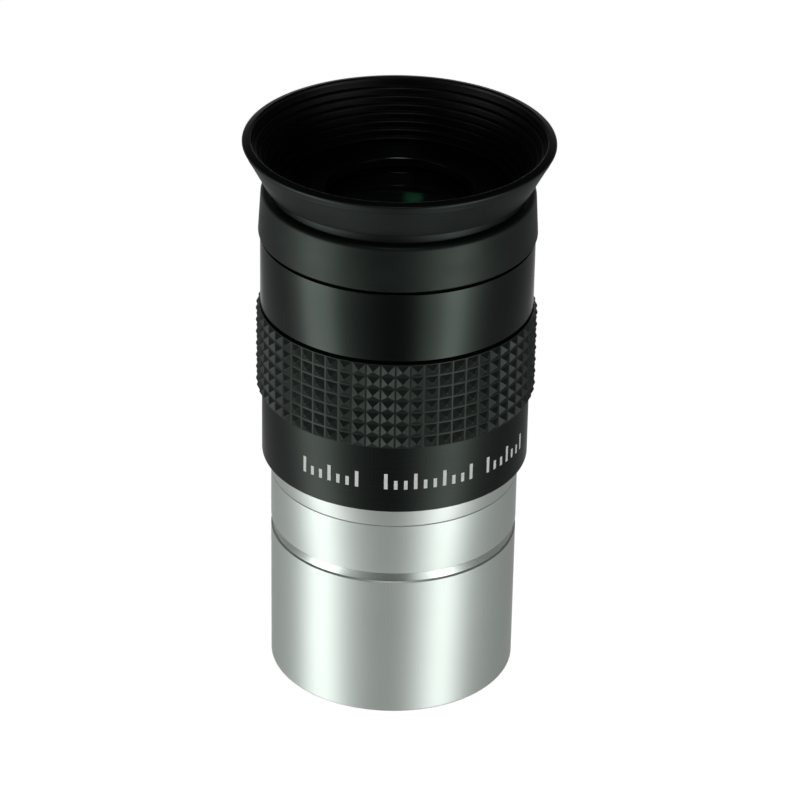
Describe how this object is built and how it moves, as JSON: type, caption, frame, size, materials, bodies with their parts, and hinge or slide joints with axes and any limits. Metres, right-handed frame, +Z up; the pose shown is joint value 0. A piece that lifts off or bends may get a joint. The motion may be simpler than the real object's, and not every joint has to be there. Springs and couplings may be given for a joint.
{
  "type": "telescope eyepiece",
  "caption": "Push-in telescope eyepiece with a fold-down flared rubber eyecup, rubber grip ring, black housing and a silver screw-in barrel with a safety groove.",
  "frame": {"origin": "centre of the barrel's bottom rim, which the eyepiece stands on", "axes": "+Z up along the optical axis, from the telescope end to the eye; +X and +Y square to it, the part is turned about Z"},
  "size_m": [0.0392, 0.0392, 0.0742],
  "materials": {
    "satin_chrome": "satin chrome on a turned tube, polished in the groove",
    "turned_silver_ring": "fine turned, satin",
    "black_anodised": "satin black anodised",
    "matte_black_metal": "matte blackened against stray light",
    "grip_rubber": "moulded square pyramids, semi-matte",
    "eyecup_rubber": "smooth matte",
    "crown_glass": "clear",
    "flint_glass": "clear with a green anti-reflection coating"
  },
  "bodies": {
    "housing": {"housing_body": "black_anodised", "grip_ring": "grip_rubber", "eyecup_collar": "eyecup_rubber", "eye_lens_flint": "flint_glass", "eye_lens_crown": "crown_glass", "lens_spacer_ring": "matte_black_metal", "field_lens_crown": "crown_glass", "field_lens_flint": "flint_glass", "lens_retaining_ring": "matte_black_metal"},
    "eyecup_skirt": {"eyecup_skirt": "eyecup_rubber"},
    "barrel_seat": {"barrel_seat_ring": "turned_silver_ring"},
    "barrel": {"barrel_tube": "satin_chrome", "field_stop_ring": "matte_black_metal"}
  },
  "joints": [
    {"name": "eyecup_fold", "type": "slide", "parent": "housing", "child": "eyecup_skirt", "axis": [0, 0, -1], "range_m": [0, 0.0122], "deforming": ["eyecup_skirt"]},
    {"name": "barrel_travel", "type": "slide", "parent": "housing", "child": "barrel_seat", "axis": [0, 0, -1], "range_m": [0, 0.00375]},
    {"name": "barrel_turn", "type": "hinge", "parent": "barrel_seat", "child": "barrel", "pos_m": [0, 0, 0.0305], "axis": [0, 0, -1], "range_deg": [0, 1800]}
  ],
  "couplings": [
    {"joint": "barrel_travel", "follows": "barrel_turn", "m_per_rad": 0.00011937}
  ]
}
